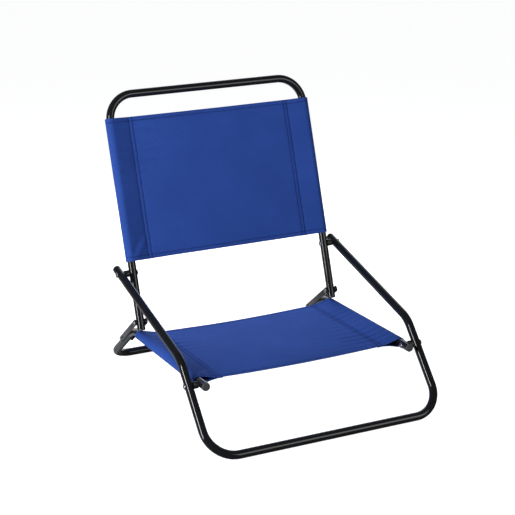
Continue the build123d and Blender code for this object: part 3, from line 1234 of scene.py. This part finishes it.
        wide = len(places)
        faces = [
            (row * wide + i, row * wide + i + 1, (row + 1) * wide + i + 1, (row + 1) * wide + i)
            for row in range(len(order) - 1)
            for i in range(wide - 1)
        ]
        order_rows = [row for row, offset in order]
        mesh = point_mesh(
            name,
            lines.reshape(-1, 3),
            (),
            faces,
            groove=groove[:, order_rows].T.ravel(),
            doubled=doubled[:, order_rows].T.ravel(),
        )
        uv = mesh.uv_layers.new(name="cloth")
        corners = np.zeros(len(mesh.loops), np.int32)
        mesh.loops.foreach_get("vertex_index", corners)
        u, v = places[corners % wide], np.array(cloth_v)[corners // wide]
        uv.data.foreach_set("uv", np.stack([u, v], 1).astype(np.float32).ravel())
        mesh.materials.append(finish_of("sling_fabric"))
        self.cut_length = travelled
        piece = new_object(name, mesh)
        finer = piece.modifiers.new("Finer cloth", "SUBSURF")
        finer.levels = finer.render_levels = 1
        finer.boundary_smooth = "PRESERVE_CORNERS"
        thick = piece.modifiers.new("Cloth thickness", "SOLIDIFY")
        thick.thickness = settings.thickness
        thick.offset = 0.0
        mesh.shade_smooth()
        return piece

    def surface_line(self, s_values, t_values, lift):
        """Points lifted off the cloth's face along a line on the strip, and the face's normals."""
        points, normals = [], []
        for s, t in zip(s_values, t_values):
            column = int(np.clip(np.searchsorted(self.places, s), 1, len(self.places) - 1))
            row = int(np.clip(np.searchsorted(self.rows, t), 1, len(self.rows) - 1))
            a = (s - self.places[column - 1]) / (self.places[column] - self.places[column - 1])
            b = (t - self.rows[row - 1]) / (self.rows[row] - self.rows[row - 1])

            def blended(table):
                low = table[column - 1, row - 1] * (1 - a) + table[column, row - 1] * a
                high = table[column - 1, row] * (1 - a) + table[column, row] * a
                return low * (1 - b) + high * b

            normal = blended(self.normals)
            normal = normal / np.linalg.norm(normal)
            points.append(blended(self.grid) + normal * lift)
            normals.append(normal * (1 if lift > 0 else -1))
        return points, normals


# ---------------------------------------------------------------- stitches


def stitch_tree(material):
    """Stitches along lines: one small rounded stitch per pitch, laid along the line and flat on the cloth."""
    tree, given = new_tree(
        "Stitches",
        {"Pitch": FLOAT, "Stitch length": FLOAT, "Thread width": FLOAT, "Unevenness": FLOAT, "Seed": WHOLE},
    )
    line = add(tree, "GeometryNodeMeshToCurve", {"Mesh": given.outputs["Geometry"]})
    spots = add(
        tree, "GeometryNodeCurveToPoints", {"Curve": line.outputs["Curve"], "Length": given.outputs["Pitch"]},
        mode="LENGTH",
    )
    up = add(tree, "GeometryNodeInputNamedAttribute", {"Name": "up"}, data_type="FLOAT_VECTOR")
    along = add(
        tree, "FunctionNodeAlignRotationToVector", {"Vector": spots.outputs["Tangent"]}, axis="X"
    )
    flat = add(
        tree,
        "FunctionNodeAlignRotationToVector",
        {"Rotation": along.outputs["Rotation"], "Vector": up.outputs["Attribute"]},
        axis="Z",
        pivot_axis="X",
    )
    ball = add(tree, "GeometryNodeMeshUVSphere", {"Segments": 7, "Rings": 5, "Radius": 0.5})
    uneven = add(
        tree,
        "FunctionNodeRandomValue",
        {"Seed": given.outputs["Seed"]},
        data_type="FLOAT",
    )
    shares = {0: uneven.outputs[1], 1: given.outputs["Unevenness"]}
    shift = add(tree, "ShaderNodeMath", shares, operation="MULTIPLY")
    share = add(tree, "ShaderNodeMath", {0: 1.0, 1: shift.outputs[0]}, operation="SUBTRACT")
    long = add(
        tree, "ShaderNodeMath", {0: given.outputs["Stitch length"], 1: share.outputs[0]}, operation="MULTIPLY"
    )
    size = add(
        tree,
        "ShaderNodeCombineXYZ",
        {"X": long.outputs[0], "Y": given.outputs["Thread width"], "Z": given.outputs["Thread width"]},
    )
    turned = add(
        tree, "FunctionNodeEulerToRotation", {"Euler": (0.0, pi / 2, 0.0)}
    )
    lying = add(
        tree,
        "GeometryNodeTransform",
        {"Geometry": ball.outputs["Mesh"], "Rotation": turned.outputs["Rotation"]},
    )
    laid = add(
        tree,
        "GeometryNodeInstanceOnPoints",
        {
            "Points": spots.outputs["Points"],
            "Instance": lying.outputs["Geometry"],
            "Rotation": flat.outputs["Rotation"],
            "Scale": size.outputs["Vector"],
        },
    )
    end_tree(tree, laid.outputs["Instances"], material)
    return tree


def stitch_rows(sewn):
    """Every stitch row of a sling as (points, normals), on the faces that show."""
    sling, settings = sewn.sling, sewn.sling.settings
    flap_inner = sling.back_seam + sling.seam - sling.inner_seam
    lift = settings.thickness / 2
    along = np.linspace(0.001, sling.length - 0.001, 140)
    rows = []
    for side in (-1, 1):
        for s in (sling.seam, sling.inner_seam, sling.back_seam, flap_inner):
            rows.append(sewn.surface_line([side * s] * len(along), along, lift - settings.seam_pull * 0.4))
    strip = np.linspace(-sling.edge + 0.002, sling.edge - 0.002, 420)
    panel = np.linspace(-sling.inner_seam + 0.006, sling.inner_seam - 0.006, 220)
    for t in (settings.hem_row, sling.length - settings.hem_row):
        rows.append(sewn.surface_line(strip, [t] * len(strip), lift - settings.seam_pull * 0.3))
        rows.append(sewn.surface_line(panel, [t] * len(panel), -lift - settings.layer_step))
    return rows


def sew(sewn, name, body, settings):
    """The stitches of one sling, as one piece."""
    points, ups, edges = [], [], []
    for row, normals in stitch_rows(sewn):
        first = len(points)
        points.extend(row)
        ups.extend(normals)
        edges.extend((i, i + 1) for i in range(first, len(points) - 1))
    piece = new_object(name, point_mesh(name, points, edges, up=ups))
    run_tree(
        piece,
        stitch_tree(finish_of("sewing_thread")),
        {
            "Pitch": settings.pitch,
            "Stitch length": settings.length,
            "Thread width": settings.thread,
            "Unevenness": settings.unevenness,
            "Seed": settings.seed,
        },
    )
    piece.data.shade_smooth()
    return seat_on(piece, body, [])


def make_sling(context, kind, body, start, end, rough):
    """One sling with its stitches, fixed to the frame that carries it."""
    chair = context.scene.camp_chair
    sling = Sling(start, end, chair.slings, rough)
    sewn = SewnSling(sling)
    cloth = sewn.build(f"{kind}_sling")
    seat_on(cloth, body, [f"{kind}_fabric"])
    stitches = sew(sewn, f"{kind}_sling_stitches", body, chair.stitches)


class CAMPCHAIR_OT_back_sling(bpy.types.Operator):
    """Make the back sling: cloth sewn into a sleeve round each upright"""

    bl_idname = "camp_chair.back_sling"
    bl_label = "Back sling"

    def execute(self, context):
        sizes = context.scene.camp_chair.slings
        make_sling(
            context,
            "back",
            "backrest",
            at_height(LINK_UPPER_PIN, TOP_BAR, sizes.back_bottom),
            at_height(LINK_UPPER_PIN, TOP_BAR, sizes.back_top),
            BACK_ROUGH,
        )
        return {"FINISHED"}


class CAMPCHAIR_OT_seat_sling(bpy.types.Operator):
    """Make the seat sling: cloth sewn into a sleeve round each seat rail"""

    bl_idname = "camp_chair.seat_sling"
    bl_label = "Seat sling"

    def execute(self, context):
        sizes = context.scene.camp_chair.slings
        make_sling(
            context,
            "seat",
            "seat_frame",
            at_depth(SEAT_PIN, RAIL_SLOPE, sizes.seat_front),
            at_depth(SEAT_PIN, RAIL_SLOPE, sizes.seat_rear),
            SEAT_ROUGH,
        )
        return {"FINISHED"}


# ---------------------------------------------------------------- stage


PAPER_FADE = radians(16)  # the angle over which the backdrop fades into the room
LIT_SIDE = (-0.44, 0.63, -0.63)  # the way to the lit floor behind the chair
LIT_SIDE_FROM, LIT_SIDE_FULL = 0.72, 0.94  # how nearly a ray points that way
FLOOR_RADIUS, FLOOR_SIDES = 9.0, 96
FLOOR_GLOW = 0.90
SENSOR_WIDTH = 36.0
AIM = (0.0, 0.0, 0.35)  # what the lights face
# name, azimuth in degrees, height, distance, width, tall, radiance, shown by gloss
LIGHTS = (
    ("key_strip", -73, 1.0, 2.4, 0.28, 1.7, 22.0, True),
    ("key_wash", -66, 1.2, 2.0, 1.6, 1.7, 7.2, False),
    ("fill_panel", 28, 0.9, 2.8, 1.6, 1.6, 1.9, True),
    ("top_wash", 170, 2.3, 1.2, 2.2, 1.6, 0.6, False),
    ("back_wash", 178, 0.85, 1.7, 1.8, 0.8, 12.5, False),
)


def soft_light(name, azimuth, height, distance, width, tall, radiance, mirrored):
    """A rectangular soft light of this radiance, at an azimuth round the chair, facing it.

    Gloss shows the light only if it is mirrored; otherwise it just brightens what it falls on."""
    light = bpy.data.lights.new(name, "AREA")
    light.shape = "RECTANGLE"
    light.size, light.size_y = width, tall
    light.energy = radiance * pi * width * tall
    lamp = bpy.data.objects.new(name, light)
    bpy.context.scene.collection.objects.link(lamp)
    lamp.visible_glossy = mirrored
    lamp.location = (distance * sin(azimuth), -distance * cos(azimuth), height)
    lamp.rotation_euler = (Vector(AIM) - lamp.location).to_track_quat("-Z", "Y").to_euler()


def studio_world(settings):
    """A white backdrop that the camera sees all round, bright behind the chair and dim on the near side."""
    world = bpy.data.worlds.new("studio")
    bpy.context.scene.world = world
    world.use_nodes = True
    tree = world.node_tree
    tree.nodes.clear()
    place = add(tree, "ShaderNodeTexCoord")
    far = (-sin(settings.azimuth), cos(settings.azimuth), 0.0)
    ray = place.outputs["Generated"]
    facing = add(tree, "ShaderNodeVectorMath", {0: ray, 1: far}, operation="DOT_PRODUCT")
    shade = add(
        tree,
        "ShaderNodeMapRange",
        {
            "Value": facing.outputs["Value"],
            "From Min": cos(settings.paper + PAPER_FADE),
            "From Max": cos(settings.paper),
            "To Min": settings.room,
            "To Max": settings.backdrop,
        },
        interpolation_type="SMOOTHSTEP",
    )
    axes = add(tree, "ShaderNodeSeparateXYZ", {"Vector": ray})
    above = add(
        tree,
        "ShaderNodeMapRange",
        {"Value": axes.outputs["Z"], "From Min": -0.06, "From Max": 0.04, "To Min": 0.0, "To Max": 1.0},
        interpolation_type="SMOOTHSTEP",
    )
    upper = add(
        tree, "ShaderNodeMath", {0: shade.outputs["Result"], 1: above.outputs["Result"]}, operation="MULTIPLY"
    )
    toward = add(tree, "ShaderNodeVectorMath", {0: ray, 1: LIT_SIDE}, operation="DOT_PRODUCT")
    lit_floor = add(
        tree,
        "ShaderNodeMapRange",
        {
            "Value": toward.outputs["Value"],
            "From Min": LIT_SIDE_FROM,
            "From Max": LIT_SIDE_FULL,
            "To Min": settings.below,
            "To Max": settings.lit_floor,
        },
        interpolation_type="SMOOTHSTEP",
    )
    brighter = {0: upper.outputs["Value"], 1: lit_floor.outputs["Result"]}
    strength = add(tree, "ShaderNodeMath", brighter, operation="MAXIMUM")
    path = add(tree, "ShaderNodeLightPath")
    light = add(
        tree, "ShaderNodeBackground", {"Color": (0.90, 0.95, 1, 1), "Strength": strength.outputs["Value"]}
    )
    seen = add(tree, "ShaderNodeBackground", {"Color": (1, 1, 1, 1), "Strength": settings.backdrop})
    mix = add(tree, "ShaderNodeMixShader", {0: path.outputs["Is Camera Ray"]})
    tree.links.new(light.outputs["Background"], mix.inputs[1])
    tree.links.new(seen.outputs["Background"], mix.inputs[2])
    add(tree, "ShaderNodeOutputWorld", {"Surface": mix.outputs["Shader"]})


def studio_floor(colours):
    """A wide pale floor."""
    turns = [2 * pi * i / FLOOR_SIDES for i in range(FLOOR_SIDES)]
    rim = [(FLOOR_RADIUS * cos(turn), FLOOR_RADIUS * sin(turn), 0.0) for turn in turns]
    mesh = point_mesh("studio_floor", rim, (), [tuple(range(FLOOR_SIDES))])
    material, tree, shader = new_material("pale_floor", Roughness=0.9, Specular_IOR_Level=0.1)
    shader.inputs["Base Color"].default_value = (*colours.floor, 1)
    shader.inputs["Emission Color"].default_value = (1, 1, 1, 1)
    shader.inputs["Emission Strength"].default_value = FLOOR_GLOW
    mesh.materials.append(material)
    floor = new_object("studio_floor", mesh)
    floor.visible_glossy = False


def studio_camera(settings):
    """The camera, turned and leaned as the settings say."""
    camera = bpy.data.objects.new("camera", bpy.data.cameras.new("camera"))
    bpy.context.scene.collection.objects.link(camera)
    back = Vector(
        (
            sin(settings.azimuth) * cos(settings.elevation),
            -cos(settings.azimuth) * cos(settings.elevation),
            sin(settings.elevation),
        )
    )
    right = (-back).cross(Vector((0, 0, 1))).normalized()
    up = right.cross(-back)
    leaned_right = right * cos(settings.roll) + up * sin(settings.roll)
    leaned_up = up * cos(settings.roll) - right * sin(settings.roll)
    turn = Matrix((leaned_right, leaned_up, back)).transposed().to_4x4()
    camera.matrix_world = Matrix.Translation(Vector(settings.target) + back * settings.distance) @ turn
    camera.data.lens = settings.lens
    camera.data.sensor_width = SENSOR_WIDTH
    camera.data.clip_end = 100.0
    bpy.context.scene.camera = camera


class CAMPCHAIR_OT_stage(bpy.types.Operator):
    """Make the studio: camera, pale floor, backdrop and soft lights"""

    bl_idname = "camp_chair.stage"
    bl_label = "Stage"

    def execute(self, context):
        chair = context.scene.camp_chair
        context.scene.view_settings.view_transform = "Standard"
        studio_camera(chair.studio)
        studio_floor(chair.colours)
        studio_world(chair.studio)
        for name, azimuth, *rest in LIGHTS:
            soft_light(name, radians(azimuth), *rest)
        return {"FINISHED"}


# ---------------------------------------------------------------- panel and running


OPERATORS = (
    CAMPCHAIR_OT_stage,
    CAMPCHAIR_OT_front_frame,
    CAMPCHAIR_OT_backrest_frame,
    CAMPCHAIR_OT_seat_frame,
    CAMPCHAIR_OT_end_caps,
    CAMPCHAIR_OT_spacers,
    CAMPCHAIR_OT_links,
    CAMPCHAIR_OT_rivets,
    CAMPCHAIR_OT_back_sling,
    CAMPCHAIR_OT_seat_sling,
)
SETTINGS = (
    TubeSettings,
    SlingSettings,
    StitchSettings,
    RivetSettings,
    ColourSettings,
    StudioSettings,
    ChairSettings,
)


class CAMPCHAIR_PT_panel(bpy.types.Panel):
    """Lists the pieces of the chair"""

    bl_idname = "CAMPCHAIR_PT_panel"
    bl_label = "Camp Chair"
    bl_space_type = "VIEW_3D"
    bl_region_type = "UI"
    bl_category = "Camp Chair"

    def draw(self, context):
        chair = context.scene.camp_chair
        for operator in OPERATORS:
            self.layout.operator(operator.bl_idname)
        for group in (chair.tubes, chair.slings, chair.stitches, chair.rivets, chair.colours, chair.studio):
            box = self.layout.box()
            for key in group.__annotations__:
                box.prop(group, key)


def register():
    for kind in (*SETTINGS, *OPERATORS, CAMPCHAIR_PT_panel):
        bpy.utils.register_class(kind)
    bpy.types.Scene.camp_chair = PointerProperty(type=ChairSettings)


def unregister():
    del bpy.types.Scene.camp_chair
    for kind in reversed((*SETTINGS, *OPERATORS, CAMPCHAIR_PT_panel)):
        bpy.utils.unregister_class(kind)


def main():
    """Makes every piece in order."""
    register()
    for operator in OPERATORS:
        getattr(bpy.ops.camp_chair, operator.bl_idname.split(".")[1])()


if __name__ == "__main__":
    main()
